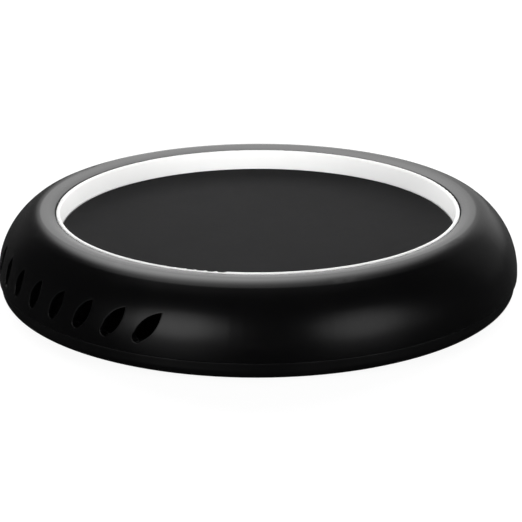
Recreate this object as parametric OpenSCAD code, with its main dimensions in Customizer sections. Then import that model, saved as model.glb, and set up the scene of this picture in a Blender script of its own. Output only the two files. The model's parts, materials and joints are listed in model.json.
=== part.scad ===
// Electric mug warmer: a round two-shell plastic body with a heated plate sunk in its top.
// Lengths are millimetres. The origin is on the table under the body's axis, +Z is up,
// -Y is the front and +Y the rear, where the cord gland and the rocker switch are.

/* [Body] */
// Widest diameter of the body
body_d = 130; // [130:1:160]
// Height from the body's underside to the crest of its rim
body_h = 20.5; // [20.5:0.5:28]
// Width of the round shoulder, from the crest out to the widest point
shoulder_w = 10.8; // [10:0.2:12]
// Radius of the shoulder's tight round beside the crest
crest_round = 6; // [5:0.5:7]
// Radius of the shoulder's long round above the widest point
side_round = 18; // [16:0.5:19]
// Radius of the rim's fall from the crest in to the trim ring
mouth_round = 12; // [10:1:15]
// Width of the rim's fall from the crest in to the trim ring
mouth_fall_w = 3.65; // [2:0.05:3.65]
// Wall thickness of both shells
wall = 2; // [1.6:0.1:2.4]
// Height of the seam between the shells above the body's underside
seam_h = 4; // [3.5:0.1:4.2]
// How far the base's side lies inside the upper shell's side
seam_step = 0.6; // [0.4:0.1:1]
// Radius of the base's lower edge
base_round = 2.2; // [1.5:0.1:2.4]
// Height of the lip that rises from the base inside the upper shell
spigot_h = 2.5; // [2:0.1:3]

/* [Plate and ring] */
// Diameter of the heating plate
plate_d = 98.2; // [80:0.2:98.2]
// Thickness of the heating plate at its flat centre
plate_t = 1.5; // [1.2:0.1:2]
// Width of the plate's dished border
dish_w = 13.1; // [9:0.1:15]
// Rise of the plate's dished border
dish_h = 0.9; // [0.6:0.1:1.2]
// Depth of the plate's edge below the lip of the trim ring
recess_depth = 5; // [4.4:0.1:5]
// Thickness of the trim ring's wall
ring_wall = 1; // [0.8:0.1:1.4]
// Height of the rim's crest above the lip of the trim ring
ring_drop = 0.4; // [0.2:0.1:0.6]
// Width of the plate's border that stands on the gasket
seat_w = 4.8; // [4:0.1:5.5]
// Thickness of the gasket under the plate's border
gasket_t = 0.8; // [0.6:0.1:1]
// Thickness of the trim ring's inner flange
flange_t = 1.4; // [1.2:0.1:1.6]

/* [Heater] */
// Thickness of each mica sheet
mica_t = 0.4; // [0.3:0.1:0.5]
// Thickness of the heating element's flat track
element_t = 0.6; // [0.4:0.1:0.7]
// Width of the heating element's flat track
track_w = 3; // [2:0.1:3.4]
// Thickness of the clamp plate under the heater
clamp_t = 1; // [0.8:0.1:1.2]
// Thickness of the insulation pad
pad_t = 3; // [2.6:0.1:3.2]
// Thickness of the heat shield
shield_t = 0.6; // [0.4:0.1:0.8]
// Distance of the plate's four studs inside the plate's edge
stud_inset = 17.1; // [17.1:0.1:21.1]
// Diameter of the plate's studs
stud_d = 3; // [2.5:0.5:3]

/* [Vents] */
// Number of vents in the fan on each side
vent_count = 12; // [6:1:12]
// Angle between neighbouring vents
vent_step = 7.8; // [7:0.1:8]
// Angle from the front to the middle of each fan
vent_middle = 102.8; // [95:0.1:104]
// Height that each vent spans
vent_rise = 6.6; // [5:0.1:7]
// Width of each vent
vent_w = 3.5; // [2:0.1:3.8]
// Lean of the first and last vent of a fan from upright
vent_lean = 43; // [0:1:45]
// Depth of the vents' middle below the crest
vent_drop = 10.2; // [9.5:0.1:10.5]

/* [Switch] */
// Width of the rocker switch's bezel
switch_w = 15; // [13:0.5:18]
// Height of the rocker switch's bezel
switch_h = 10.4; // [9.4:0.1:10.6]
// Depth of the rocker switch's body behind its bezel
switch_depth = 8.5; // [7:0.5:8.5]
// Angle of the switch from the rear, towards +X
switch_angle = 20; // [19:0.5:21]
// How far the switch's flat seat lies inside the body's widest radius
switch_inset = 5; // [4.6:0.1:5.2]
// Tilt of the rocker to each side of level
rocker_tilt = 9; // [6:1:9]

/* [Cord inlet] */
// Diameter of the cord that the gland takes
cord_d = 6; // [5:0.2:6.4]
// Radial clearance of the cord in the gland
cord_gap = 0.1; // [0.1:0.05:0.2]
// Height of the cord's axis above the base's floor
cord_rise = 5.2; // [5.1:0.1:5.4]
// Distance of the cord clamp inside the body's widest radius
clamp_inset = 11; // [10:0.5:11]

/* [Feet and screws] */
// How far the rubber feet stand out of the base
foot_proud = 1.5; // [1:0.1:2]
// Diameter of the rubber feet
foot_d = 10; // [8:0.5:12]
// Distance of the feet's axes inside the body's widest radius
foot_inset = 15; // [13:0.5:18]
// Distance of the cover screws' axes inside the body's widest radius
post_inset = 9; // [8.5:0.1:10]

/* [Hidden] */
$fn = 96;

// Clearances
fit_gap = 0.05;         // radial, a shank or pin in its hole
slip_gap = 0.1;         // one piece dropped into another
free_gap = 0.3;         // round a stud, a nut or a bezel that its opening doesn't centre
seam_gap = 0.3;         // between the shells along the seam
plate_gap = 0.2;        // plate's edge to the ring's wall
mouth_gap = 0.25;       // ring's wall to the rim
eps = 0.01;             // overshoot of a cut past the surface that it opens
cut_over = 5;           // overshoot of a cut past the outside of the body

// Heights of the body
base_z = foot_proud;
floor_z = base_z + wall;
seam_z = base_z + seam_h;
crest_z = base_z + body_h;
lip_z = crest_z - ring_drop;

// Heights of the plate and what hangs under it
plate_edge_z = lip_z - recess_depth;
plate_top_z = plate_edge_z - dish_h;
plate_low_z = plate_top_z - plate_t;
upper_mica_z = plate_low_z - mica_t;
element_z = upper_mica_z - element_t;
clamp_top_z = element_z - mica_t;
clamp_low_z = clamp_top_z - clamp_t;
flange_top_z = clamp_top_z + flange_t;
seat_z = flange_top_z + gasket_t;
pad_low_z = clamp_low_z - pad_t;
shield_low_z = pad_low_z - shield_t;
stud_tail = 3;
stud_end_z = shield_low_z - stud_tail;

// Radii of the body
body_r = body_d / 2;
base_r = body_r - seam_step;
plate_r = plate_d / 2;
ring_in_r = plate_r + plate_gap;
ring_out_r = ring_in_r + ring_wall;
mouth_r = ring_out_r + mouth_gap;
seat_r = plate_r - seat_w;
dish_r = plate_r - dish_w;

// The shoulder's two rounds meet where their common normal leans by shoulder_lean
crest_r = body_r - shoulder_w;
shoulder_lean = asin((side_round - shoulder_w) / (side_round - crest_round));
tight_c = [crest_r, crest_z - crest_round];
long_c = [body_r - side_round, tight_c.y - (side_round - crest_round) * cos(shoulder_lean)];
mouth_c = [mouth_r + mouth_fall_w, crest_z - mouth_round];

// Collar inside the rim that centres the ring
collar_t = 1.5;
collar_h = 5;

// Spigot of the base
spigot_t = 1.5;
spigot_r = body_r - wall - seam_gap;

// Thermostat and fuse, each held against the clamp plate by a strap with two screws
strap_t = 0.5;
strap_foot = 6;
thermostat_strap_w = 6;
thermostat_size = [20, 7.6, 4];
thermostat_inner_w = thermostat_size.y + 2 * slip_gap;
thermostat_strap_end = thermostat_inner_w / 2 + strap_t + strap_foot;
lug_size = [4, 3, 0.5];
lug_drop = 2.3;
lug_z = clamp_low_z - lug_drop;
fuse_strap_w = 4;
fuse_y = -24;
fuse_r = 1.9;
fuse_l = 11.5;
sleeve_r = 2.4;
sleeve_l = 20;
fuse_inner_w = 2 * sleeve_r + 2 * slip_gap;
fuse_strap_end = fuse_inner_w / 2 + strap_t + strap_foot;
fuse_lead_r = 0.5;
fuse_lead_l = 28;
fuse_z = clamp_low_z - sleeve_r - slip_gap;
window_gap = 1.5;       // round the thermostat, its lugs and the fuse's leads
thermostat_window = [fuse_lead_l + 2 * window_gap, thermostat_size.y + 2 * strap_foot + 2 * window_gap];
fuse_window = [fuse_lead_l + 2 * window_gap, 2 * fuse_strap_end + 2 * slip_gap];
strap_head_r = 2.2;
strap_head_h = 1.2;
strap_shank_r = 0.95;

// Element pins stand on the inner and the outer track, towards the rear
pin_r = 1;
pin_gap = 0.2;
pin_hole_r = pin_r + pin_gap;
bush_r = 2.2;
bush_flange_r = 3;
bush_flange_t = 1;
pin_end_rise = 2.7;
pin_end_z = floor_z + pin_end_rise;

// Heater layout. A margin is how far a disc's edge lies inside the plate's seat or edge.
heater_margin = 4.3;
clamp_margin = 3.3;
shield_margin = 1.3;
clamp_arm_margin = 1.1;
heater_r = seat_r - heater_margin;
clamp_r = seat_r - clamp_margin;
shield_r = seat_r - shield_margin;
clamp_arm_r = plate_r - clamp_arm_margin;
clamp_arm_w = 10;
pad_r = heater_r;
stud_r = plate_r - stud_inset;
stud_hole_r = stud_d / 2 + free_gap;
stud_angles = [45, 135, 225, 315];
nut_af = 5.5;
nut_h = 2.4;
nut_room_r = nut_af / sqrt(3) + free_gap;

// Rings of the heating element: up to three inside the studs' circle and one outside it
track_stud_gap = [1.2, 1.5];    // from a stud to the track inside it and to the one outside it
track_gap = 0.3;                // least gap between two rings
track_first_r = max(stud_r / 2, thermostat_strap_end + bush_r + pin_gap);
track_room = stud_r - stud_d / 2 - track_stud_gap[0] - track_w / 2 - track_first_r;
track_steps = max(1, min(2, floor(track_room / (track_w + track_gap))));
track_outer_r = stud_r + stud_d / 2 + track_stud_gap[1] + track_w / 2;
track_radii = [
    for (i = [0:track_steps]) track_first_r + i * track_room / track_steps,
    track_outer_r
];
track_break = 4;
pin_places = [[0, track_first_r], [0, track_outer_r]];

// Ears of the ring, screwed up to bosses under the rim
ear_angles = [-90, 15, 165];
ear_reach = 3.05;
ear_r = mouth_r + ear_reach;
ear_end_r = 3.2;
ear_boss_r = 2.6;
small_shank_r = 1.05;
small_head_r = 2.3;
small_head_h = 1.5;
small_pilot_r = small_shank_r + fit_gap;
small_hole_r = 1.4;
small_screw_l = 5;
driver_w = 0.5;             // width of a screw head's slot or cross
driver_h = 0.7;             // and its depth
driver_reach = 1.2;         // and a cross's length, as a multiple of the head's radius

// Posts of the base and bosses of the housing, joined by the cover screws
post_angles = [45, 135, 225, 315];
post_r = body_r - post_inset;
post_foot_r = 4.2;
post_top_r = 3;
post_foot_h = 3.5;
post_h = 7.5;
post_top_z = floor_z + post_h;
boss_r = 2.8;
cover_shank_r = 1.25;
cover_head_r = 2.6;
cover_head_h = 1.8;
cover_head_room = 0.4;
cover_hole_r = 1.6;
cover_seat_h = 3.5;
cover_seat_z = base_z + cover_seat_h;
cover_bite = 4.5;
pilot_over = 1;             // by how much the pilot hole is deeper than the screw's bite

// Switch: local +Y points out of the body, local X along its seat
switch_rise = 10.7;
switch_z = base_z + switch_rise;
switch_y = body_r - switch_inset;
bezel_t = 1.5;
bezel_edge = [2.2, 0.8];    // width of the bezel beside its window, and above and below it
switch_lip = 1;             // by how much the bezel is wider than the body behind it
switch_wall = [1.1, 1];     // of the body behind it, at the sides, and above and below
body_half = [switch_w / 2 - switch_lip, switch_h / 2 - switch_lip];
cavity_half = body_half - switch_wall;
window_half = [switch_w / 2 - bezel_edge.x, switch_h / 2 - bezel_edge.y];
clip_size = [1.6, 2.4, 3];
clip_y = switch_y - wall - free_gap - clip_size.y / 2;
seat_margin = 2.3;
seat_over = 2;
pivot_proud = 0.2;
pivot_y = switch_y + pivot_proud;
pivot_r = 0.6;
pivot_gap = 0.02;
pivot_bite = 0.9;
rocker_pin_l = 2 * window_half.x + 2 * pivot_bite;
rocker_gap = [0.4, 0.55];
rocker_half = window_half - rocker_gap;
rocker_under = 0.9;
rocker_mid = 1.7;
rocker_end = 2.4;
neck_half = 2;
neck_low = 2.6;
neck_low_half = 1.5;
blade_size = [4.8, 4, 0.8];
blade_x = 3.4;
blade_drop = 2.8;
blade_z = switch_z - blade_drop;

// Gland: a grooved bush held in a notch of the housing's skirt
gland_z = floor_z + cord_rise;
gland_bore_r = cord_d / 2 + cord_gap;
gland_neck_t = 0.8;
gland_groove_r = gland_bore_r + gland_neck_t;
gland_flange_w = 2;
gland_inner_less = 0.2;     // by how much the inner flange is smaller
gland_flange_r = gland_bore_r + gland_flange_w;
gland_flange_t = 1.6;
gland_seat_inset = 2.05;
gland_seat_y = body_r - gland_seat_inset;
gland_seat_t = 3.1;
gland_seat_edge = 2.4;
gland_seat_half = gland_flange_r + gland_seat_edge;
gland_slack = 0.15;
gland_groove_y = gland_seat_y - gland_seat_t - gland_slack;
gland_in_y = gland_groove_y - gland_flange_t - free_gap;

// Cord clamp: a bar over the cord, screwed to two posts of the base
clamp_y = body_r - clamp_inset;
clamp_post_gap = 4.5;
clamp_post_x = cord_d / 2 + clamp_post_gap;
clamp_post_r = 2.6;
clamp_bar_end = 2.5;
clamp_bar = [2 * clamp_post_x + 2 * clamp_bar_end, 5, 1.6];
clamp_bar_z = gland_z + cord_d / 2;
saddle_t = 2.4;
saddle_top_z = gland_z - cord_d / 2 - slip_gap;

// Terminal block in the rear, on the other side of the gland from the switch
block_size = [17, 9, 8];
block_angle = 24;
block_inset = 11.5;
block_y = body_r - block_inset;
tube_x = 4;
tube_z = floor_z + block_size.z / 2;
tube_r = 2;
tube_bore_r = 1.5;
tube_sink = 0.5;
block_screw_r = 1.3;
block_screw_y = 2.2;
block_screw_sink = 0.4;
rib_t = 1.2;
rib_h = 3.5;

// Wires
wire_r = 0.9;
bend_r = 1.4;
bend_swell = 0.03;      // a wire's bend is this much fuller than its straight runs
bend_bite = 0.2;        // and the runs reach this far into it
wire_z = floor_z + 1.1;
wire_bite = 1;          // depth of a wire's end in the terminal block
wire_exit = 2.2;        // distances from the block at which the wires turn down and along the floor
wire_drop = 5;
lug_grip = 0.5;         // from a lug's middle out to its wire
lead_grip = 1;          // from a fuse lead's end in to its wire
blade_grip = 0.75;      // share of a blade's length at which its wire is joined

// Shape of a vent: the shares of its length above and below its widest point, with the rest in
// its round end, and the power by which the vents' lean falls off towards the fan's middle
vent_tip = 0.545;
vent_end = 0.327;
vent_spread = 0.7;

// Slots in the base's floor
slot_count = 16;
slot_w = 2;
slot_l = 14;
slot_in_r = 21;

// Feet
foot_sink = 1;
foot_angles = [0, 90, 180, 270];
foot_ring_r = body_r - foot_inset;

// ---------- shared shapes ----------

// Turns its children about Z and puts them at radius r, with local +Y outward from a bearing
// that is measured from the rear towards +X
module at_rear(bearing) {
    rotate([0, 0, -bearing]) children();
}

function rear_point(bearing, x, y, z) = [
    x * cos(bearing) + y * sin(bearing),
    -x * sin(bearing) + y * cos(bearing),
    z
];

// Puts its children at each angle from +X on a circle
module on_circle(r, angles) {
    for (a = angles) rotate([0, 0, a]) translate([r, 0, 0]) children();
}

// Cylinder from height z1 to height z2
module post(r, z1, z2) {
    translate([0, 0, z1]) cylinder(r = r, h = z2 - z1);
}

// Box centred in X and Y between two heights
module slab(x, y, z1, z2) {
    translate([-x / 2, -y / 2, z1]) cube([x, y, z2 - z1]);
}

// Cylinder along Y from y1 to y2
module along_y(r, y1, y2) {
    translate([0, y1, 0]) rotate([-90, 0, 0]) cylinder(r = r, h = y2 - y1);
}

// Pan-head screw with its head below z and its shank above, driven from below
module screw_up(shank_r, head_r, head_h, z, length) {
    difference() {
        union() {
            post(shank_r, z, z + length);
            post(head_r, z - head_h, z);
        }
        cross_recess(head_r, z - head_h);
    }
}

// Cross recess in a screw head whose face is at z
module cross_recess(head_r, z) {
    for (a = [0, 90]) rotate([0, 0, a]) slab(head_r * driver_reach, driver_w, z - eps, z + driver_h);
}

// Strap over something inner_w wide and inner_h high, hung under the clamp plate, along Y
module strap(w, inner_w, inner_h) {
    side = inner_w / 2 + strap_t;
    low_z = clamp_low_z - inner_h - strap_t;
    difference() {
        union() {
            slab(w, 2 * side, low_z, clamp_low_z - inner_h);
            for (s = [-1, 1]) {
                translate([0, s * (side - strap_t / 2), 0]) slab(w, strap_t, low_z, clamp_low_z);
                translate([0, s * (side + strap_foot / 2), 0])
                    slab(w, strap_foot, clamp_low_z - strap_t, clamp_low_z);
            }
        }
        for (s = [-1, 1]) translate([0, s * strap_screw_y(inner_w), 0])
            post(strap_shank_r + slip_gap, clamp_low_z - strap_t - eps, clamp_low_z + eps);
    }
}

function strap_screw_y(inner_w) = inner_w / 2 + strap_t + strap_foot / 2;

strap_screw_places = [
    [0, strap_screw_y(thermostat_inner_w)],
    [0, -strap_screw_y(thermostat_inner_w)],
    [0, fuse_y + strap_screw_y(fuse_inner_w)],
    [0, fuse_y - strap_screw_y(fuse_inner_w)]
];

// Slice of a disc between two directions
module sector(c, r, a1, a2) {
    intersection() {
        translate(c) circle(r = r);
        polygon([c, c + 2 * r * [cos(a1), sin(a1)], c + 2 * r * [cos(a2), sin(a2)]]);
    }
}

// Cross-section of the upper body outside the mouth, filled in and drawn inset by d.
// The slices overlap, and the body's sides go on below the seam, where they are cut off.
module body_section(d) {
    lap = 1;
    lap_angle = 10;
    core_r = [mouth_r - 3 * lap, long_c.x + 10 * lap];
    sector(long_c, side_round - d, -lap_angle, 90 - shoulder_lean);
    sector(tight_c, crest_round - d, 90 - lap_angle - shoulder_lean, 120);
    sector(mouth_c, mouth_round - d, 90, 135);
    polygon([
        [core_r[0], seam_z - lap],
        [core_r[1], seam_z - lap],
        [core_r[1], long_c.y + 3 * lap],
        [crest_r + lap, tight_c.y + lap],
        [core_r[0], tight_c.y + lap]
    ]);
    if (crest_r > mouth_c.x + eps)
        translate([mouth_c.x - lap, tight_c.y]) square([crest_r - mouth_c.x + lap, crest_round - d]);
}

// Keeps of its children what lies inside the upper shell's wall
module inside_shell() {
    intersection() {
        children();
        rotate_extrude() body_section(wall / 2);
    }
}

// ---------- vents ----------

function vent_turn(i) = 1 - 2 * i / (vent_count - 1);
function vent_bearing(i) = vent_middle - vent_turn(i) * vent_step * (vent_count - 1) / 2;
function vent_tilt(i) = vent_lean * sign(vent_turn(i)) * pow(abs(vent_turn(i)), vent_spread);

// Leaf: pointed at its top end and round at its lower end
module leaf(length) {
    end_swell = 0.05;
    tip_l = vent_tip * length;
    end_l = vent_end * length;
    bow_r = (tip_l * tip_l + vent_w * vent_w / 4) / vent_w;
    end_r = sqrt(bow_r * bow_r - end_l * end_l) - bow_r + vent_w / 2;
    intersection() {
        translate([bow_r - vent_w / 2, 0]) circle(r = bow_r);
        translate([vent_w / 2 - bow_r, 0]) circle(r = bow_r);
        translate([-vent_w, -end_l]) square([2 * vent_w, end_l + tip_l + 1]);
    }
    translate([0, -end_l]) circle(r = end_r + end_swell);
}

// One fan of cutters on the -X side
module vent_fan() {
    reach = 12;
    behind = 4;
    for (i = [0:vent_count - 1])
        rotate([0, 0, -vent_bearing(i)])
            translate([0, -(body_r - wall - behind), crest_z - vent_drop])
                rotate([90, 0, 0])
                    rotate([0, 0, -vent_tilt(i)])
                        linear_extrude(reach) leaf(vent_rise / cos(vent_tilt(i)));
}

// ---------- shells ----------

module switch_seat() {
    at_rear(switch_angle) translate([0, switch_y - wall, 0])
        translate([-switch_w / 2 - seat_margin, 0, seam_z + seam_gap])
            cube([switch_w + 2 * seat_margin, wall + seat_over, crest_z - seam_z]);
}

module switch_cut() {
    half = [switch_w / 2 + free_gap, switch_h / 2 + free_gap];
    hole = [body_half.x + slip_gap, body_half.y + slip_gap];
    at_rear(switch_angle) {
        translate([-half.x, switch_y, switch_z - half.y])
            cube([2 * half.x, switch_inset + cut_over, 2 * half.y]);
        translate([-hole.x, switch_y - wall - seat_over, switch_z - hole.y])
            cube([2 * hole.x, wall + 2 * seat_over, 2 * hole.y]);
    }
}

module gland_seat() {
    translate([-gland_seat_half, gland_seat_y - gland_seat_t, seam_z + seam_gap])
        cube([2 * gland_seat_half, gland_seat_t, gland_z + gland_seat_half - seam_z - seam_gap]);
}

// Room for the gland, from behind its inner flange outwards
module gland_cut() {
    translate([0, 0, gland_z]) {
        along_y(gland_groove_r + slip_gap, gland_in_y, body_r + cut_over);
        along_y(gland_flange_r + free_gap, gland_seat_y, body_r + cut_over);
    }
}

module upper_housing() {
    color("#161616")
    difference() {
        union() {
            rotate_extrude() difference() {
                body_section(0);
                body_section(wall);
                square([mouth_r, crest_z + 1]);
                square([body_r + 1, seam_z + seam_gap]);
            }
            inside_shell() {
                rotate_extrude() translate([mouth_r, crest_z - collar_h]) square([collar_t, collar_h]);
                on_circle(ear_r, ear_angles) post(ear_boss_r, flange_top_z, crest_z);
                on_circle(post_r, post_angles) post(boss_r, post_top_z, crest_z);
                switch_seat();
                gland_seat();
            }
        }
        on_circle(ear_r, ear_angles) post(small_pilot_r, flange_top_z - eps, flange_top_z + small_screw_l);
        on_circle(post_r, post_angles)
            post(cover_shank_r + fit_gap, post_top_z - eps, post_top_z + cover_bite + pilot_over);
        switch_cut();
        gland_cut();
        translate([-gland_groove_r - slip_gap, gland_in_y, 0])
            cube([2 * gland_groove_r + 2 * slip_gap, body_r + cut_over - gland_in_y, gland_z]);
        vent_fan();
        mirror([1, 0, 0]) vent_fan();
    }
}

module base_section() {
    difference() {
        union() {
            translate([0, base_z + base_round]) square([base_r, seam_h - base_round]);
            translate([0, base_z]) square([base_r - base_round, base_round + eps]);
            translate([base_r - base_round, base_z + base_round]) circle(r = base_round);
            square_ring(spigot_r - spigot_t, spigot_r, floor_z, seam_z + spigot_h);
        }
        translate([0, floor_z]) square([spigot_r - spigot_t, body_h]);
    }
}

module square_ring(r1, r2, z1, z2) {
    translate([r1, z1]) square([r2 - r1, z2 - z1]);
}

module block_ribs() {
    at_rear(-block_angle) for (s = [-1, 1])
        translate([s * (block_size.x / 2 + slip_gap + rib_t / 2), block_y, 0])
            slab(rib_t, block_size.y, floor_z - eps, floor_z + rib_h);
}

module base_cover() {
    color("#1b1b1b")
    difference() {
        union() {
            rotate_extrude() base_section();
            on_circle(post_r, post_angles) {
                post(post_foot_r, floor_z - eps, floor_z + post_foot_h);
                post(post_top_r, floor_z - eps, post_top_z);
            }
            for (s = [-1, 1]) translate([s * clamp_post_x, clamp_y, 0])
                post(clamp_post_r, floor_z - eps, clamp_bar_z);
            translate([0, clamp_y, 0]) slab(cord_d, saddle_t, floor_z - eps, saddle_top_z);
            block_ribs();
        }
        on_circle(post_r, post_angles) {
            post(cover_head_r + cover_head_room, base_z - eps, cover_seat_z);
            post(cover_hole_r, cover_seat_z - eps, post_top_z + eps);
        }
        for (s = [-1, 1]) translate([s * clamp_post_x, clamp_y, 0])
            post(small_pilot_r, clamp_bar_z - small_screw_l, clamp_bar_z + eps);
        on_circle(foot_ring_r, foot_angles) post(foot_d / 2 + slip_gap, base_z - eps, base_z + foot_sink);
        on_circle(slot_in_r + slot_l / 2, [for (i = [0:slot_count - 1]) (i + 0.5) * 360 / slot_count])
            slab(slot_l, slot_w, base_z - eps, floor_z + eps);
        gland_cut();
        spigot_gap(0, 2 * gland_seat_half + 1);
        spigot_gap(switch_angle, switch_w + 2 * seat_margin + 1);
    }
}

// Clears the spigot above the seam over a width, at a bearing from the rear
module spigot_gap(bearing, width) {
    at_rear(bearing) translate([-width / 2, spigot_r - spigot_t - 2, seam_z])
        cube([width, spigot_t + 4, spigot_h + eps]);
}

// ---------- ring, plate and heater ----------

module trim_ring() {
    color("#f4f4f2")
    difference() {
        union() {
            rotate_extrude() {
                square_ring(ring_in_r, ring_out_r, clamp_top_z, lip_z - ring_wall / 2);
                translate([ring_in_r + ring_wall / 2, lip_z - ring_wall / 2]) circle(r = ring_wall / 2);
                square_ring(seat_r, ring_in_r + eps, clamp_top_z, flange_top_z);
            }
            for (a = ear_angles) rotate([0, 0, a]) {
                translate([ring_in_r + ring_wall / 2, -ear_end_r, clamp_top_z])
                    cube([ear_r - ring_in_r - ring_wall / 2, 2 * ear_end_r, flange_t]);
                translate([ear_r, 0, 0]) post(ear_end_r, clamp_top_z, flange_top_z);
            }
        }
        on_circle(ear_r, ear_angles) post(small_hole_r, clamp_top_z - eps, flange_top_z + eps);
    }
}

module heating_plate() {
    bow_r = (dish_w * dish_w + dish_h * dish_h) / (2 * dish_h);
    edge_cut = 0.4;
    color("#2b2b2b")
    rotate_extrude() difference() {
        translate([0, plate_low_z]) square([plate_r, plate_edge_z - plate_low_z]);
        translate([0, plate_top_z]) square([dish_r, plate_t]);
        intersection() {
            translate([dish_r, plate_top_z + bow_r]) circle(r = bow_r, $fn = 720);
            translate([dish_r, plate_low_z]) square([dish_w + 1, bow_r]);
        }
        translate([seat_r, plate_low_z - eps]) square([seat_w + 1, seat_z - plate_low_z + eps]);
        polygon([
            [plate_r + eps, plate_edge_z - edge_cut],
            [plate_r + eps, plate_edge_z + eps],
            [plate_r - edge_cut, plate_edge_z + eps]
        ]);
    }
}

module plate_studs() {
    color("silver") on_circle(stud_r, stud_angles) post(stud_d / 2, stud_end_z, plate_low_z);
}

module plate_gasket() {
    color("#b5452f") rotate_extrude()
        square_ring(seat_r + slip_gap, plate_r - slip_gap, flange_top_z, seat_z);
}

// Disc between two heights with a hole round each stud
module stud_disc(r, z1, z2) {
    difference() {
        post(r, z1, z2);
        on_circle(stud_r, stud_angles) post(stud_hole_r, z1 - eps, z2 + eps);
    }
}

module upper_mica_sheet() {
    color("#c9b48a") stud_disc(heater_r, upper_mica_z, plate_low_z);
}

module lower_mica_sheet() {
    color("#c9b48a")
    difference() {
        stud_disc(heater_r, clamp_top_z, element_z);
        for (p = pin_places) translate(p) post(pin_hole_r, clamp_top_z - eps, element_z + eps);
    }
}

// Flat track in open rings, joined in turn so that the current runs through each of them
module heating_element() {
    last = len(track_radii) - 1;
    color("#9a8f86")
    difference() {
        union() {
            for (r = track_radii) difference() {
                post(r + track_w / 2, element_z, upper_mica_z);
                post(r - track_w / 2, element_z - eps, upper_mica_z + eps);
            }
            for (i = [0:last - 1]) {
                span = track_radii[i + 1] - track_radii[i];
                translate([bridge_x(i), -(track_radii[i] + span / 2), 0])
                    slab(track_w, span, element_z, upper_mica_z);
            }
        }
        for (i = [0:last])
            translate([0, -track_radii[i], 0])
                slab(track_break, track_w + 1, element_z - eps, upper_mica_z + eps);
    }
}

// The joins lie in turn on one side and the other of the rings' breaks
function bridge_x(i) = (i % 2 == 0 ? 1 : -1) * (track_break + track_w) / 2;

module clamp_plate() {
    color("#b9bcc0")
    difference() {
        union() {
            post(clamp_r, clamp_low_z, clamp_top_z);
            intersection() {
                post(clamp_arm_r, clamp_low_z, clamp_top_z);
                union() {
                    slab(2 * clamp_arm_r, clamp_arm_w, clamp_low_z, clamp_top_z);
                    slab(clamp_arm_w, 2 * clamp_arm_r, clamp_low_z, clamp_top_z);
                }
            }
        }
        on_circle(stud_r, stud_angles) post(stud_hole_r, clamp_low_z - eps, clamp_top_z + eps);
        for (p = pin_places) translate(p) post(bush_r + slip_gap, clamp_low_z - eps, clamp_top_z + eps);
        for (p = strap_screw_places) translate(p)
            post(strap_shank_r + fit_gap, clamp_low_z - eps, clamp_top_z + eps);
    }
}

// Openings of the pad and the shield for the nuts, the bushes, the thermostat and the fuse
module heater_windows(hole_r, z1, z2) {
    on_circle(stud_r, stud_angles) post(hole_r, z1, z2);
    for (p = pin_places) translate(p) post(bush_r + slip_gap, z1, z2);
    slab(thermostat_window.x, thermostat_window.y, z1, z2);
    translate([0, fuse_y, 0]) slab(fuse_window.x, fuse_window.y, z1, z2);
}

module insulation_pad() {
    color("#d9d2bd")
    difference() {
        post(pad_r, pad_low_z, clamp_low_z);
        heater_windows(nut_room_r, pad_low_z - eps, clamp_low_z + eps);
    }
}

module heat_shield() {
    color("#c8cacc")
    difference() {
        union() {
            post(shield_r, shield_low_z, pad_low_z);
            difference() {
                post(shield_r, shield_low_z, clamp_low_z - free_gap);
                post(shield_r - shield_t, shield_low_z - eps, clamp_low_z);
            }
        }
        heater_windows(stud_hole_r, shield_low_z - eps, pad_low_z + eps);
    }
}

module hex_nut(z) {
    difference() {
        translate([0, 0, z]) cylinder(r = nut_af / sqrt(3), h = nut_h, $fn = 6);
        post(stud_d / 2 + fit_gap, z - eps, z + nut_h + eps);
    }
}

module stud_nuts() {
    color("silver") on_circle(stud_r, stud_angles) {
        hex_nut(clamp_low_z - nut_h);
        hex_nut(shield_low_z - nut_h);
    }
}

module element_pins() {
    color("#b8a05a") for (p = pin_places) translate(p) post(pin_r, pin_end_z, element_z);
}

module lead_bushings() {
    color("#efe9dc") for (p = pin_places) translate(p)
        difference() {
            union() {
                post(bush_r, shield_low_z - eps, clamp_top_z);
                post(bush_flange_r, shield_low_z - bush_flange_t, shield_low_z);
            }
            post(pin_r + slip_gap, shield_low_z - bush_flange_t - eps, clamp_top_z + eps);
        }
}

// ---------- thermostat and fuse ----------

module thermostat() {
    color("#d8d8d8") {
        slab(thermostat_size.x, thermostat_size.y, clamp_low_z - thermostat_size.z, clamp_low_z);
        for (s = [-1, 1]) translate([s * (thermostat_size.x + lug_size.x) / 2, 0, 0])
            slab(lug_size.x + 2 * eps, lug_size.y, lug_z, lug_z + lug_size.z);
    }
}

module thermostat_strap() {
    color("silver") strap(thermostat_strap_w, thermostat_inner_w, thermostat_size.z);
}

// Cylinder along X, centred in X
module along_x(r, length) {
    rotate([0, 90, 0]) cylinder(r = r, h = length, center = true);
}

module thermal_fuse() {
    color("#cfd3d6") translate([0, fuse_y, fuse_z]) {
        along_x(fuse_r, fuse_l);
        along_x(fuse_lead_r, fuse_lead_l);
    }
}

module fuse_sleeve() {
    color("#f0efe8") translate([0, fuse_y, fuse_z])
        difference() {
            along_x(sleeve_r, sleeve_l);
            along_x(fuse_r + slip_gap, sleeve_l + 1);
        }
}

module fuse_strap() {
    color("silver") translate([0, fuse_y, 0])
        strap(fuse_strap_w, fuse_inner_w, 2 * sleeve_r + 2 * slip_gap);
}

module strap_screws() {
    color("#8d8f92") for (p = strap_screw_places) translate(p)
        screw_up(strap_shank_r, strap_head_r, strap_head_h, clamp_low_z - strap_t, strap_t + clamp_t);
}

// ---------- rocker switch ----------

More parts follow.
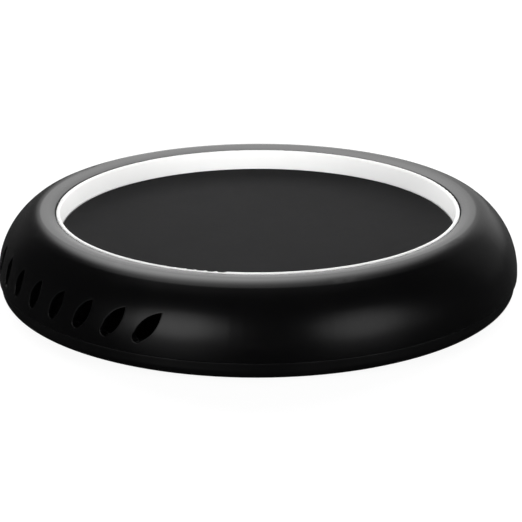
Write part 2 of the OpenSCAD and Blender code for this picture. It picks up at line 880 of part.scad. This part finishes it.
module switch_body() {
    back_y = switch_y - switch_depth;
    color("#101010")
    at_rear(switch_angle) translate([0, 0, switch_z])
        difference() {
            union() {
                translate([-switch_w / 2, switch_y, -switch_h / 2]) cube([switch_w, bezel_t, switch_h]);
                translate([-body_half.x, back_y, -body_half.y])
                    cube([2 * body_half.x, switch_depth + eps, 2 * body_half.y]);
                for (s = [-1, 1]) translate([s * body_half.x, clip_y, 0]) cube(clip_size, center = true);
            }
            translate([-cavity_half.x, back_y + switch_wall.x, -cavity_half.y])
                cube([2 * cavity_half.x, switch_depth, 2 * cavity_half.y]);
            translate([-window_half.x, switch_y, -window_half.y])
                cube([2 * window_half.x, bezel_t + eps, 2 * window_half.y]);
            translate([0, pivot_y, 0]) along_x(pivot_r + pivot_gap, rocker_pin_l + slip_gap);
        }
}

module switch_rocker() {
    color("#0c0c0c")
    at_rear(switch_angle) translate([0, pivot_y, switch_z])
        rotate([-rocker_tilt, 0, 0])
            difference() {
                rotate([90, 0, 90]) linear_extrude(2 * rocker_half.x, center = true) polygon([
                    [-neck_low, -neck_low_half],
                    [rocker_under, -neck_half],
                    [rocker_under, -rocker_half.y],
                    [rocker_end, -rocker_half.y],
                    [rocker_mid, 0],
                    [rocker_end, rocker_half.y],
                    [rocker_under, rocker_half.y],
                    [rocker_under, neck_half],
                    [-neck_low, neck_low_half]
                ]);
                along_x(pivot_r + fit_gap, 2 * rocker_half.x + 1);
            }
}

module rocker_pin() {
    color("silver") at_rear(switch_angle) translate([0, pivot_y, switch_z]) along_x(pivot_r, rocker_pin_l);
}

module switch_terminals() {
    color("#c9a24a") at_rear(switch_angle) for (s = [-1, 1])
        translate([s * blade_x, switch_y - switch_depth - blade_size.y / 2, 0])
            slab(blade_size.x, blade_size.y, blade_z, blade_z + blade_size.z);
}

// ---------- cord inlet and terminals ----------

module cord_gland() {
    inner_y = gland_groove_y - gland_flange_t;
    outer_y = gland_seat_y + gland_flange_t;
    color("#121212") translate([0, 0, gland_z])
        difference() {
            union() {
                along_y(gland_groove_r, gland_groove_y, gland_seat_y + gland_slack / 2);
                along_y(gland_flange_r, gland_seat_y, outer_y);
                along_y(gland_flange_r - gland_inner_less, inner_y, gland_groove_y);
            }
            along_y(gland_bore_r, inner_y - eps, outer_y + eps);
        }
}

module cord_clamp_bar() {
    color("#2a2a2a") translate([0, clamp_y, 0])
        difference() {
            slab(clamp_bar.x, clamp_bar.y, clamp_bar_z, clamp_bar_z + clamp_bar.z);
            for (s = [-1, 1]) translate([s * clamp_post_x, 0, 0])
                post(small_hole_r, clamp_bar_z - eps, clamp_bar_z + clamp_bar.z + eps);
        }
}

// The same small screw as the ring's, driven from above
module cord_clamp_screws() {
    top_z = clamp_bar_z + clamp_bar.z;
    color("#8d8f92") for (s = [-1, 1]) translate([s * clamp_post_x, clamp_y, 2 * top_z])
        mirror([0, 0, 1]) screw_up(small_shank_r, small_head_r, small_head_h, top_z, small_screw_l);
}

module block_tube_places() {
    at_rear(-block_angle) for (s = [-1, 1]) translate([s * tube_x, block_y, tube_z]) children();
}

module terminal_block() {
    color("#e9e6dc")
    difference() {
        at_rear(-block_angle) translate([0, block_y, 0])
            slab(block_size.x, block_size.y, floor_z, floor_z + block_size.z);
        block_tube_places() {
            along_y(tube_r + fit_gap, -block_size.y / 2 - eps, block_size.y / 2 + eps);
            block_screw_places() post(block_screw_r + free_gap, 0, block_size.z);
        }
    }
}

module block_screw_places() {
    for (y = [-1, 1] * block_screw_y) translate([0, y, 0]) children();
}

module terminal_tubes() {
    half_l = block_size.y / 2 - tube_sink;
    color("#c9a24a") block_tube_places()
        difference() {
            along_y(tube_r, -half_l, half_l);
            along_y(tube_bore_r, -half_l - eps, half_l + eps);
            block_screw_places() post(block_screw_r + fit_gap, 0, 2 * tube_r);
        }
}

module terminal_screws() {
    top_z = block_size.z / 2 - block_screw_sink;
    color("#8d8f92") block_tube_places() block_screw_places()
        difference() {
            post(block_screw_r, wire_r + slip_gap, top_z);
            slab(block_screw_r * 3, driver_w, top_z - driver_h, top_z + eps);
        }
}

// ---------- wires ----------

function unit(v) = v / norm(v);
function heading(points, i) = unit(points[i + 1] - points[i]);
function turn_at(points, i) = acos(heading(points, i - 1) * heading(points, i));

// By how much a run stops short of its end point: it reaches a little into the bend there
function setback(points, i) =
    i == 0 || i == len(points) - 1 ? 0 : bend_r * tan(turn_at(points, i) / 2) - bend_bite;

// Straight run of wire between two points, with flat ends
module wire_run(a, b) {
    d = b - a;
    translate(a)
        rotate([0, acos(d.z / norm(d)), atan2(d.y, d.x)])
            cylinder(r = wire_r, h = norm(d));
}

// Bend of a wire at point i of its list
module wire_bend(points, i) {
    u = heading(points, i - 1);
    turn = turn_at(points, i);
    middle = points[i] + bend_r / cos(turn / 2) * unit(heading(points, i) - u);
    x = unit(points[i] - bend_r * tan(turn / 2) * u - middle);
    z = cross(x, u);
    multmatrix([
        [x.x, u.x, z.x, middle.x],
        [x.y, u.y, z.y, middle.y],
        [x.z, u.z, z.z, middle.z],
        [0, 0, 0, 1]
    ])
        rotate_extrude(angle = turn) translate([bend_r, 0]) circle(r = wire_r + bend_swell);
}

// Wire through a list of points
module wire(points) {
    last = len(points) - 1;
    for (i = [0:last - 1])
        wire_run(
            points[i] + setback(points, i) * heading(points, i),
            points[i + 1] - setback(points, i + 1) * heading(points, i)
        );
    for (i = [1:last - 1]) wire_bend(points, i);
}

function block_point(x, inset, z) = rear_point(-block_angle, x, block_y - block_size.y / 2 - inset, z);
function blade_point(x, z) =
    rear_point(switch_angle, x, switch_y - switch_depth - blade_size.y * blade_grip, z);
function over(p, z) = [p.x, p.y, z];

module internal_wires() {
    lug_x = (thermostat_size.x + lug_size.x) / 2 + lug_grip;
    lead_x = fuse_lead_l / 2 - lead_grip;
    lead_z = fuse_z - fuse_lead_r - slip_gap;
    inner_pin = pin_places[0];
    outer_pin = pin_places[1];
    color("#e8e8e8") {
        wire([
            block_point(tube_x, -wire_bite, tube_z),
            block_point(tube_x, wire_exit, tube_z),
            over(block_point(tube_x, wire_drop, 0), wire_z),
            blade_point(-blade_x, wire_z),
            blade_point(-blade_x, blade_z)
        ]);
        wire([
            blade_point(blade_x, blade_z),
            blade_point(blade_x, wire_z),
            [lug_x, 0, wire_z],
            [lug_x, 0, lug_z]
        ]);
        wire([
            [-lug_x, 0, lug_z],
            [-lug_x, 0, wire_z],
            [-lead_x, fuse_y, wire_z],
            [-lead_x, fuse_y, lead_z]
        ]);
        wire([
            [lead_x, fuse_y, lead_z],
            [lead_x, fuse_y, wire_z],
            over(inner_pin, wire_z),
            over(inner_pin, pin_end_z)
        ]);
        wire([
            over(outer_pin, pin_end_z),
            over(outer_pin, wire_z),
            over(block_point(-tube_x, wire_drop, 0), wire_z),
            block_point(-tube_x, wire_exit, tube_z),
            block_point(-tube_x, -wire_bite, tube_z)
        ]);
    }
}

// ---------- screws and feet ----------

module ring_screws() {
    color("#8d8f92") on_circle(ear_r, ear_angles)
        screw_up(small_shank_r, small_head_r, small_head_h, clamp_top_z, small_screw_l);
}

module cover_screws() {
    length = post_top_z - cover_seat_z + cover_bite;
    color("#8d8f92") on_circle(post_r, post_angles)
        screw_up(cover_shank_r, cover_head_r, cover_head_h, cover_seat_z, length);
}

module rubber_feet() {
    edge = 0.5;
    color("#2f2f2f") on_circle(foot_ring_r, foot_angles) {
        cylinder(r1 = foot_d / 2 - edge, r2 = foot_d / 2, h = edge);
        post(foot_d / 2, edge, base_z + foot_sink);
    }
}

upper_housing();
base_cover();
trim_ring();
heating_plate();
plate_studs();
plate_gasket();
upper_mica_sheet();
heating_element();
lower_mica_sheet();
clamp_plate();
insulation_pad();
heat_shield();
stud_nuts();
element_pins();
lead_bushings();
thermostat();
thermostat_strap();
thermal_fuse();
fuse_sleeve();
fuse_strap();
strap_screws();
switch_body();
switch_rocker();
rocker_pin();
switch_terminals();
cord_gland();
cord_clamp_bar();
cord_clamp_screws();
terminal_block();
terminal_tubes();
terminal_screws();
internal_wires();
ring_screws();
cover_screws();
rubber_feet();
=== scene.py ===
import json
import math

import bpy
from mathutils import Matrix, Vector

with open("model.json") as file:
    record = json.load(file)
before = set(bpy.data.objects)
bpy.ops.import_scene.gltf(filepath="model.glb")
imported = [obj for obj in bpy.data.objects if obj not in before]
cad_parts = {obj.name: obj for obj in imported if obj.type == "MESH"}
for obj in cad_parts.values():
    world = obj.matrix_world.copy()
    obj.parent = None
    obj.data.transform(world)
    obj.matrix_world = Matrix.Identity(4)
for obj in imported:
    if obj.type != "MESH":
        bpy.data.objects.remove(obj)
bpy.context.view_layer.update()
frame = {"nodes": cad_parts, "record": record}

# ---------------------------------------------------------------- numbers of the camera

# Fitted to the outlines of the body, the trim ring and the seam. Angles are in degrees and
# lengths in metres. The azimuth runs from -Y towards +X.
AZIMUTH = -37.0
ELEVATION = 17.7
ROLL = -0.15
DISTANCE = 0.450
NEAREST = 0.01
FARTHEST = 20.0
FOCAL_PX = 1797.0
FRAME_PX = 522.0
SENSOR_MM = 36.0
# Centre of the trim ring's lip, and its place in the frame in pixels from the upper left
LIP = Vector((0.0, 0.0, 0.0216))
LIP_PX = (258.0, 205.0)

# ---------------------------------------------------------------- numbers of the studio

# The great soft box overhead, as reflections see it: its brightness by degrees of climb from the
# horizon behind the object, over the top and down to the horizon in front of it
SOFT_BOX = [
    (0, 1.2), (8, 1.05), (15, 0.95), (22, 1.4), (32, 2.6), (45, 3.6), (58, 2.9), (70, 1.8),
    (80, 1.1), (90, 0.35), (98, 0.05), (104, 0.0), (180, 0.0),
]
# Brightness that stands for 1 in the soft box's colour ramp
BOX_PEAK = 4.0
# Where the soft box fades to the camera's left and right: it is full up to the first distance
# from its middle line, and gone from the second one on. Distances are shares of the height, and a
# height under BOX_LOWEST counts as BOX_LOWEST.
BOX_LEFT = (0.22, 0.74)
BOX_RIGHT = (-0.08, 0.66)
BOX_LOWEST = 0.3

# Softer sources in reflections: azimuth from the camera's side, elevation, radius and brightness.
# Two small soft boxes stand in front, each with a wide weak glow under it, and the backdrop glows
# a little to the rear right and rear left.
SPOTS = [
    (-36, 22, 24, 1.5), (-38, 8, 34, 0.30),
    (45, 18, 24, 0.95), (50, 4, 34, 0.26),
    (163, 6, 26, 0.42), (146, 14, 38, 0.14),
    (-165, 8, 34, 0.08),
]

# Brightness of the studio round them, of the even light on diffuse surfaces, and of the
# background that the camera sees
STUDIO_DARK = 0.018
EVEN_LIGHT = 0.10
BACKGROUND = 1.0

# Lamps that neither reflections nor the camera see: azimuth from the camera's side, elevation and
# watts. All stand low: the two in front light the ring's inner wall, and the two behind light the
# plate, where the far wall shades its border.
LAMPS = {
    "key": (-44, 9, 31.0),
    "fill": (48, 9, 34.0),
    "rear_left": (-148, 22, 30.0),
    "rear_right": (148, 22, 30.0),
}
LAMP_DISTANCE = 1.6
LAMP_DIAMETER = 1.2

# The floor is a square. The camera sees a glow and a diffuse part that takes the object's shadow,
# diffuse light bounces off a lit floor, and reflections see a dark one with a polish.
FLOOR_HALF = 1.5
FLOOR_GLOW = 0.90
FLOOR_SHADE = 0.16
FLOOR_LIT = 0.60
FLOOR_DIM = 0.018
POLISH = 0.45
POLISH_ROUGH = 0.25
POLISH_IOR = 1.45

# ---------------------------------------------------------------- numbers of the materials

# Spans of a noise's values that are spread over a whole range
NOISE_SPAN = (0.3, 0.7)
STAIN_SPAN = (0.3, 0.72)
STRAND_SPAN = (0.32, 0.68)
RUB_AND_HIGHLIGHT_SPAN = (0.35, 0.6)
# Least share of the lighter edge colour on an edge, which is partly rubbed wear and partly a
# painted highlight
RUB_AND_HIGHLIGHT_LEAST = 0.35
# Dot product of the rounded and the true normal where an edge starts and where it is full
EDGE_DOTS = (0.99, 0.88)
BEVEL_SAMPLES = 6
METAL_GRAIN_M = 4e-6
STRANDS_PER_CLUMP = 8

# Moulded plastics, rubbers, ceramic and mica, by the record's material slot. An edge colour
# lighter than the body is partly rubbed wear and partly a painted highlight along the edges.
MOULDED = {
    "black_housing": dict(
        name="satin_black_plastic", low=(0.0009, 0.0009, 0.0010), high=(0.0015, 0.0015, 0.0016),
        rough=0.24, spread=0.02, grain_per_m=5200.0, grain_m=1e-6, ior=1.45,
        edge=(0.006, 0.006, 0.0062), edge_m=0.0004),
    "black_base": dict(
        name="grained_black_plastic", low=(0.0013, 0.0013, 0.0014), high=(0.0024, 0.0024, 0.0025),
        rough=0.36, spread=0.05, grain_per_m=3800.0, grain_m=4e-6, ior=1.45, specular=0.35,
        edge=(0.022, 0.022, 0.023)),
    "white_ring": dict(
        name="white_plastic", low=(0.86, 0.86, 0.85), high=(0.90, 0.90, 0.895),
        rough=0.34, spread=0.04, grain_per_m=4200.0, grain_m=1.5e-6, edge=(0.92, 0.92, 0.915)),
    "switch_black": dict(
        name="switch_black_plastic", low=(0.006, 0.006, 0.0064), high=(0.010, 0.010, 0.0104),
        rough=0.42, spread=0.05, grain_per_m=3600.0, grain_m=3e-6, edge=(0.030, 0.030, 0.031)),
    "rocker_black": dict(
        name="rocker_black_plastic", low=(0.006, 0.006, 0.0064), high=(0.009, 0.009, 0.0094),
        rough=0.22, spread=0.05, grain_per_m=3000.0, grain_m=1.5e-6, edge=(0.034, 0.034, 0.035)),
    "gland_rubber": dict(
        name="gland_rubber", low=(0.010, 0.010, 0.0105), high=(0.018, 0.018, 0.018),
        rough=0.62, spread=0.08, grain_per_m=2600.0, grain_m=8e-6),
    "foot_rubber": dict(
        name="foot_rubber", low=(0.030, 0.030, 0.031), high=(0.048, 0.047, 0.046),
        rough=0.75, spread=0.08, grain_per_m=2400.0, grain_m=1.2e-5),
    "clamp_nylon": dict(
        name="clamp_nylon", low=(0.020, 0.020, 0.021), high=(0.034, 0.034, 0.035),
        rough=0.50, spread=0.06, grain_per_m=3000.0, grain_m=4e-6),
    "block_nylon": dict(
        name="block_nylon", low=(0.74, 0.72, 0.66), high=(0.80, 0.78, 0.72),
        rough=0.48, spread=0.06, grain_per_m=2600.0, grain_m=4e-6),
    "wire_insulation": dict(
        name="wire_insulation", low=(0.70, 0.70, 0.69), high=(0.80, 0.80, 0.79),
        rough=0.36, spread=0.05, grain_per_m=2200.0, grain_m=3e-6),
    "silicone": dict(
        name="red_silicone", low=(0.36, 0.075, 0.045), high=(0.44, 0.10, 0.06),
        rough=0.58, spread=0.06, grain_per_m=2400.0, grain_m=5e-6),
    "ceramic": dict(
        name="unglazed_ceramic", low=(0.72, 0.69, 0.62), high=(0.80, 0.78, 0.72),
        rough=0.70, spread=0.08, grain_per_m=2800.0, grain_m=6e-6),
    "mica": dict(
        name="mica", low=(0.42, 0.34, 0.20), high=(0.58, 0.50, 0.34),
        rough=0.30, spread=0.10, grain_per_m=700.0, grain_m=6e-6),
}

METALS = {
    "resistance_foil": dict(
        name="resistance_foil", low=(0.30, 0.27, 0.24), high=(0.42, 0.38, 0.34),
        rough=0.38, spread=0.08, per_m=1400.0),
    "zinc_steel": dict(
        name="zinc_plated_steel", low=(0.46, 0.47, 0.49), high=(0.60, 0.60, 0.60),
        rough=0.34, spread=0.10),
    "shield_aluminium": dict(
        name="rolled_aluminium", low=(0.58, 0.59, 0.60), high=(0.70, 0.71, 0.72),
        rough=0.30, spread=0.08, per_m=1500.0, scale=(0.12, 1, 1)),
    "brass": dict(
        name="stamped_brass", low=(0.50, 0.34, 0.12), high=(0.66, 0.48, 0.20),
        rough=0.32, spread=0.10),
    "fuse_can": dict(
        name="drawn_can", low=(0.54, 0.55, 0.56), high=(0.66, 0.66, 0.66),
        rough=0.24, spread=0.08, per_m=2200.0, scale=(0.1, 1, 1)),
    "screw_steel": dict(
        name="plated_screw_steel", low=(0.26, 0.27, 0.28), high=(0.40, 0.40, 0.40),
        rough=0.34, spread=0.10),
}

FIBRES = {
    "fibre": dict(
        name="ceramic_fibre_felt", low=(0.52, 0.48, 0.38), high=(0.72, 0.68, 0.56),
        rough=0.95, per_m=1800.0, depth_m=1.2e-4),
    "glass_sleeve": dict(
        name="braided_glass_sleeve", low=(0.66, 0.65, 0.60), high=(0.86, 0.85, 0.80),
        rough=0.7, per_m=2600.0, depth_m=8e-5, scale=(0.5, 1, 1)),
}

# ---------------------------------------------------------------- directions and camera


def direction(azimuth, elevation):
    """Unit vector to a place round the object, by degrees. The azimuth is from the camera's side,
    positive to its right."""
    a = math.radians(azimuth + AZIMUTH)
    e = math.radians(elevation)
    return Vector((math.sin(a) * math.cos(e), -math.cos(a) * math.cos(e), math.sin(e)))


def turned(first, second, angle):
    """Two axes at right angles, both turned by angle from the first towards the second."""
    c = math.cos(angle)
    s = math.sin(angle)
    return c * first + s * second, c * second - s * first


def make_camera():
    """Camera that faces LIP, rolls, and then turns until LIP stands on LIP_PX."""
    cam = bpy.data.cameras.new("camera")
    cam.sensor_width = SENSOR_MM
    cam.lens = FOCAL_PX / FRAME_PX * SENSOR_MM
    cam.clip_start = NEAREST
    cam.clip_end = FARTHEST
    ob = bpy.data.objects.new("camera", cam)
    bpy.context.scene.collection.objects.link(ob)
    ahead = -direction(0, ELEVATION)
    right = direction(90, 0)
    up = right.cross(ahead)
    place = LIP - ahead * DISTANCE
    pan = math.atan((LIP_PX[0] - FRAME_PX / 2) / FOCAL_PX)
    tilt = math.atan((LIP_PX[1] - FRAME_PX / 2) / FOCAL_PX * math.cos(pan))
    right, up = turned(right, up, math.radians(ROLL))
    ahead, up = turned(ahead, up, tilt)
    right, ahead = turned(right, ahead, pan)
    turn = Matrix((right, up, -ahead)).transposed().to_4x4()
    ob.matrix_world = Matrix.Translation(place) @ turn
    bpy.context.scene.camera = ob


# ---------------------------------------------------------------- node tools


def grey(level):
    return (level, level, level, 1)


class Tree:
    """Short ways to add and join the nodes of a material or a world."""

    def __init__(self, tree):
        self.tree = tree
        tree.nodes.clear()

    def add(self, kind, **values):
        """New node. The values are its properties, or its sockets with _ for each space."""
        node = self.tree.nodes.new(kind)
        for key, value in values.items():
            if key in node.bl_rna.properties:
                setattr(node, key, value)
            else:
                node.inputs[key.replace("_", " ")].default_value = value
        return node

    def shader(self, kind, **values):
        return self.add(kind, **values).outputs[0]

    def link(self, source, target):
        self.tree.links.new(source, target)

    def feed(self, socket, value):
        """Gives the socket another node's output, or a value of its own."""
        if isinstance(value, bpy.types.NodeSocket):
            self.link(value, socket)
        else:
            socket.default_value = value

    def calc(self, operation, a, b):
        node = self.add("ShaderNodeMath", operation=operation)
        self.feed(node.inputs[0], a)
        self.feed(node.inputs[1], b)
        return node.outputs[0]

    def blend(self, a, b, share):
        """The value a by share, and b by the rest."""
        return self.calc("ADD", self.calc("MULTIPLY", a, share),
                         self.calc("MULTIPLY", b, 1.0 - share))

    def dot(self, a, b):
        node = self.add("ShaderNodeVectorMath", operation="DOT_PRODUCT")
        self.feed(node.inputs[0], a)
        self.feed(node.inputs[1], b)
        return node.outputs["Value"]

    def map_range(self, source, span, to=(0.0, 1.0), interpolation="LINEAR"):
        """The source's values in span, spread over the range to."""
        node = self.add("ShaderNodeMapRange", interpolation_type=interpolation,
                        From_Min=span[0], From_Max=span[1], To_Min=to[0], To_Max=to[1])
        self.link(source, node.inputs["Value"])
        return node.outputs[0]

    def ramp(self, source, stops):
        """Greys that run from stop to stop. Each stop is a place from 0 to 1 and a level."""
        node = self.add("ShaderNodeValToRGB")
        elements = node.color_ramp.elements
        while len(elements) > 1:
            elements.remove(elements[-1])
        elements[0].position = stops[0][0]
        elements[0].color = grey(stops[0][1])
        for at, level in stops[1:]:
            elements.new(at).color = grey(level)
        self.link(source, node.inputs[0])
        return node.outputs[0]

    def colour(self, factor, low, high):
        """Colour that runs with factor from low, a colour or an output, to the colour high."""
        node = self.add("ShaderNodeMix", data_type="RGBA")
        self.link(factor, node.inputs["Factor"])
        self.feed(node.inputs["A"], (*low, 1) if isinstance(low, tuple) else low)
        node.inputs["B"].default_value = (*high, 1)
        return node.outputs["Result"]

    def noise(self, where, per_m, detail, rough, scale=None):
        """Noise whose features are 1 / per_m metres across, and longer along an axis with a
        scale under 1."""
        if scale:
            mapping = self.add("ShaderNodeMapping", Scale=scale)
            self.link(where, mapping.inputs["Vector"])
            where = mapping.outputs[0]
        node = self.add("ShaderNodeTexNoise", Scale=per_m, Detail=detail, Roughness=rough)
        self.link(where, node.inputs["Vector"])
        return node.outputs["Fac"]

    def choose(self, factor, off, on):
        """The shader off where factor is 0, and on where it is 1."""
        node = self.add("ShaderNodeMixShader")
        for socket, source in zip(node.inputs, (factor, off, on)):
            self.link(source, socket)
        return node.outputs[0]


# ---------------------------------------------------------------- materials


def new_material(name, **values):
    """A material with one Principled shader: itself, its tree, the shader, which has these
    values, and the object's coordinates in metres."""
    mat = bpy.data.materials.new(name)
    mat.use_nodes = True
    t = Tree(mat.node_tree)
    out = t.add("ShaderNodeOutputMaterial")
    bsdf = t.add("ShaderNodeBsdfPrincipled", **values)
    t.link(bsdf.outputs[0], out.inputs[0])
    where = t.add("ShaderNodeTexCoord").outputs["Object"]
    return mat, t, bsdf, where


def set_roughness(t, bsdf, source, middle, spread):
    """Roughness that runs with a noise from middle - spread to middle + spread."""
    rough = t.map_range(source, NOISE_SPAN, (middle - spread, middle + spread))
    t.link(rough, bsdf.inputs["Roughness"])


def bump(t, bsdf, height, depth_m, under=None):
    """Bumps by height, on the normal under where there is one."""
    node = t.add("ShaderNodeBump", Strength=1.0, Distance=depth_m)
    t.link(height, node.inputs["Height"])
    if under is not None:
        t.link(under, node.inputs["Normal"])
    t.link(node.outputs[0], bsdf.inputs["Normal"])


def soft_edge(t, radius):
    """Normal with the edges rounded to radius, and a mask that is 1 on those edges."""
    rounded = t.add("ShaderNodeBevel", samples=BEVEL_SAMPLES, Radius=radius).outputs[0]
    true_normal = t.add("ShaderNodeNewGeometry").outputs["Normal"]
    return rounded, t.map_range(t.dot(rounded, true_normal), EDGE_DOTS)


def moulded(name, low, high, rough, spread, grain_per_m, grain_m, ior=1.46, specular=0.5,
            edge=None, edge_m=0.00025):
    """Moulded material: faint cloudiness, fine spark-eroded grain and uneven gloss. edge is the
    lighter colour of the edges, partly rubbed wear and partly a painted highlight; the edges are
    rounded to edge_m."""
    mat, t, bsdf, where = new_material(name, IOR=ior, Specular_IOR_Level=specular)
    cloud = t.noise(where, per_m=45.0, detail=4.0, rough=0.55)
    haze = t.noise(where, per_m=160.0, detail=5.0, rough=0.6)
    grain = t.noise(where, per_m=grain_per_m, detail=2.0, rough=0.6)
    colour = t.colour(t.map_range(cloud, NOISE_SPAN), low, high)
    normal = None
    if edge:
        normal, on_edge = soft_edge(t, edge_m)
        # Lighter edges: partly rubbed wear and partly a painted highlight along the edges
        rub_and_highlight = t.calc("MULTIPLY", on_edge, t.map_range(haze, RUB_AND_HIGHLIGHT_SPAN, (RUB_AND_HIGHLIGHT_LEAST, 1.0)))
        colour = t.colour(rub_and_highlight, colour, edge)
    t.link(colour, bsdf.inputs["Base Color"])
    set_roughness(t, bsdf, t.blend(haze, grain, share=0.7), rough, spread)
    bump(t, bsdf, grain, grain_m, normal)
    return mat


def metal(name, low, high, rough, spread, per_m=900.0, scale=None):
    """Metal with rolling or drawing streaks and slight stains."""
    mat, t, bsdf, where = new_material(name, Metallic=1.0)
    streaks = t.noise(where, per_m=per_m, detail=4.0, rough=0.6, scale=scale)
    stain = t.noise(where, per_m=70.0, detail=5.0, rough=0.65)
    t.link(t.colour(t.map_range(stain, STAIN_SPAN), low, high), bsdf.inputs["Base Color"])
    set_roughness(t, bsdf, t.blend(streaks, stain, share=0.6), rough, spread)
    bump(t, bsdf, streaks, METAL_GRAIN_M)
    return mat


def fibrous(name, low, high, rough, per_m, depth_m, scale=None):
    """Felted or braided fibre."""
    mat, t, bsdf, where = new_material(name, Roughness=rough, Sheen_Weight=0.2)
    strands = t.noise(where, per_m=per_m, detail=6.0, rough=0.7, scale=scale)
    clumps = t.noise(where, per_m=per_m / STRANDS_PER_CLUMP, detail=3.0, rough=0.6)
    both = t.blend(strands, clumps, share=0.6)
    t.link(t.colour(t.map_range(both, STRAND_SPAN), low, high), bsdf.inputs["Base Color"])
    bump(t, bsdf, both, depth_m)
    return mat


def plate_coating():
    """Dark non-stick coating on aluminium: fine orange peel, faint speckle and the rub marks of
    mugs. It is almost without gloss, as in the photograph."""
    mat, t, bsdf, where = new_material("non_stick_coating", IOR=1.30, Specular_IOR_Level=0.006)
    speck = t.noise(where, per_m=1500.0, detail=2.0, rough=0.5)
    cloud = t.noise(where, per_m=35.0, detail=4.0, rough=0.6)
    marks = t.noise(where, per_m=260.0, detail=3.0, rough=0.5, scale=(1, 1, 4))
    tone = t.map_range(t.blend(speck, cloud, share=0.35), NOISE_SPAN)
    colour = t.colour(tone, low=(0.0165, 0.0165, 0.0169), high=(0.0215, 0.0215, 0.0219))
    t.link(colour, bsdf.inputs["Base Color"])
    set_roughness(t, bsdf, t.blend(marks, cloud, share=0.5), middle=0.36, spread=0.04)
    bump(t, bsdf, speck, depth_m=4e-6)
    return mat


def make_materials():
    """The material of each slot in the record."""
    made = {slot: moulded(**look) for slot, look in MOULDED.items()}
    made.update((slot, metal(**look)) for slot, look in METALS.items())
    made.update((slot, fibrous(**look)) for slot, look in FIBRES.items())
    made["plate_coating"] = plate_coating()
    return made


def assign(materials):
    """Gives each CAD node the material of its slot."""
    slots = {s["node"]: s["material_slot"] for s in frame["record"]["subparts"]}
    for name, ob in frame["nodes"].items():
        ob.data.materials.clear()
        ob.data.materials.append(materials[slots[name]])


# ---------------------------------------------------------------- studio


def floor_material():
    mat = bpy.data.materials.new("pale_floor")
    mat.use_nodes = True
    t = Tree(mat.node_tree)
    out = t.add("ShaderNodeOutputMaterial")
    path = t.add("ShaderNodeLightPath")
    seen = t.add("ShaderNodeAddShader")
    glow = t.shader("ShaderNodeEmission", Color=grey(1), Strength=FLOOR_GLOW)
    t.link(glow, seen.inputs[0])
    t.link(t.shader("ShaderNodeBsdfDiffuse", Color=grey(FLOOR_SHADE)), seen.inputs[1])
    lit = t.shader("ShaderNodeBsdfDiffuse", Color=grey(FLOOR_LIT))
    dim = t.shader("ShaderNodeBsdfDiffuse", Color=grey(FLOOR_DIM))
    polish = t.shader("ShaderNodeBsdfGlossy", Color=grey(POLISH), Roughness=POLISH_ROUGH)
    skim = t.add("ShaderNodeFresnel", IOR=POLISH_IOR).outputs[0]
    mirrored = t.choose(path.outputs["Is Glossy Ray"], lit, t.choose(skim, dim, polish))
    floor = t.choose(path.outputs["Is Camera Ray"], mirrored, seen.outputs[0])
    t.link(floor, out.inputs[0])
    return mat


def make_floor():
    h = FLOOR_HALF
    mesh = bpy.data.meshes.new("floor")
    mesh.from_pydata([(-h, -h, 0), (h, -h, 0), (h, h, 0), (-h, h, 0)], [], [(0, 1, 2, 3)])
    mesh.materials.append(floor_material())
    ob = bpy.data.objects.new("floor", mesh)
    bpy.context.scene.collection.objects.link(ob)


def soft_box(t, where):
    """Brightness of the great soft box, by the place in the world that a reflection sees."""
    up = t.dot(where, (0, 0, 1))
    climb = t.calc("ARCTAN2", up, t.dot(where, -direction(0, 0)))
    stops = [(degrees / 180.0, level / BOX_PEAK) for degrees, level in SOFT_BOX]
    arc = t.ramp(t.map_range(climb, (0.0, math.pi)), stops)
    height = t.calc("MAXIMUM", up, BOX_LOWEST)
    across = t.calc("DIVIDE", t.dot(where, direction(90, 0)), height)
    to_right = t.map_range(across, BOX_RIGHT, (1.0, 0.0), "SMOOTHSTEP")
    across_left = t.calc("MULTIPLY", across, -1.0)
    to_left = t.map_range(across_left, BOX_LEFT, (1.0, 0.0), "SMOOTHSTEP")
    side = t.calc("MULTIPLY", to_right, to_left)
    return t.calc("MULTIPLY", t.calc("MULTIPLY", arc, side), BOX_PEAK)


def make_world():
    """White to the camera and an even grey to diffuse surfaces. Reflections see a dark studio
    with the soft box and the spots."""
    world = bpy.data.worlds.new("studio")
    bpy.context.scene.world = world
    world.use_nodes = True
    # Bounced rays find the world by themselves, so it isn't sampled as a lamp
    world.cycles.sampling_method = "NONE"
    t = Tree(world.node_tree)
    out = t.add("ShaderNodeOutputWorld")
    path = t.add("ShaderNodeLightPath")
    where = t.add("ShaderNodeTexCoord").outputs["Generated"]
    level = t.calc("ADD", soft_box(t, where), STUDIO_DARK)
    for azimuth, elevation, radius, strength in SPOTS:
        near = t.dot(where, direction(azimuth, elevation))
        rim = math.cos(math.radians(radius))
        level = t.calc("ADD", level, t.map_range(near, (rim, 1.0), (0.0, strength), "SMOOTHSTEP"))
    studio = t.add("ShaderNodeBackground", Color=grey(1))
    t.link(level, studio.inputs["Strength"])
    even = t.shader("ShaderNodeBackground", Color=grey(1), Strength=EVEN_LIGHT)
    white = t.shader("ShaderNodeBackground", Color=grey(1), Strength=BACKGROUND)
    unseen = t.choose(path.outputs["Is Glossy Ray"], even, studio.outputs[0])
    t.link(t.choose(path.outputs["Is Camera Ray"], unseen, white), out.inputs[0])


def make_lamp(name, azimuth, elevation, watts):
    """Round soft box that faces the object."""
    data = bpy.data.lights.new(name, "AREA")
    data.shape = "DISK"
    data.size = LAMP_DIAMETER
    data.energy = watts
    ob = bpy.data.objects.new(name, data)
    bpy.context.scene.collection.objects.link(ob)
    way = direction(azimuth, elevation)
    ob.location = LIP + way * LAMP_DISTANCE
    ob.rotation_euler = (-way).to_track_quat("-Z", "Y").to_euler()
    ob.visible_glossy = False
    ob.visible_camera = False


make_camera()
assign(make_materials())
make_floor()
make_world()
for lamp, numbers in LAMPS.items():
    make_lamp(lamp, *numbers)
bpy.context.scene.view_settings.view_transform = "Standard"
